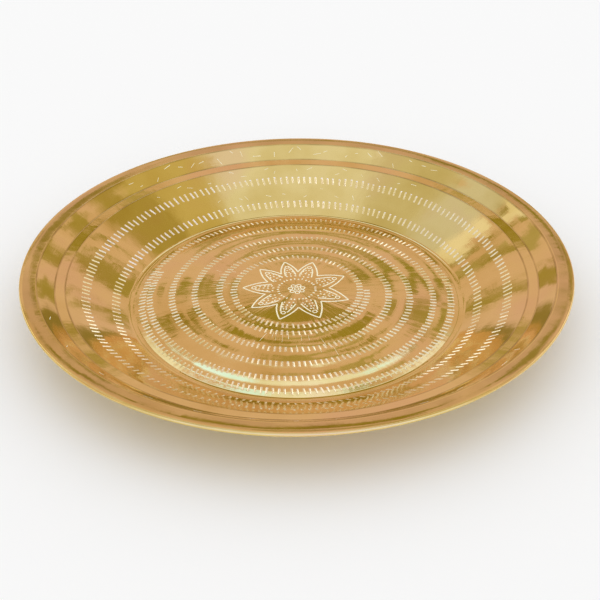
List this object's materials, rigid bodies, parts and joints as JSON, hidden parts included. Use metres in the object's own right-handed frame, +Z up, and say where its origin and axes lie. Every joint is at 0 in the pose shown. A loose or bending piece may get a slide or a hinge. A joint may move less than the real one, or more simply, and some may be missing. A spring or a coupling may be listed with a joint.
{
  "type": "brass tray",
  "caption": "Round shallow dish spun from brass sheet, with a domed floor, a stepped sloping wall, a flat lip and a wired edge.",
  "frame": {"origin": "on the axis, in the plane of the standing ring under the floor", "axes": "+Z up along the axis, out of the open side; +X and +Y are across the dish, and +Y points to the far side in the reference view"},
  "size_m": [0.3556, 0.3556, 0.0327],
  "materials": {
    "brass_sheet": "polished, with circular polishing lines, fine scratches and bright-cut tool marks",
    "edge_wire": "drawn"
  },
  "bodies": {
    "root": {"tray_body": "brass_sheet", "rim_wire": "edge_wire"}
  },
  "joints": []
}
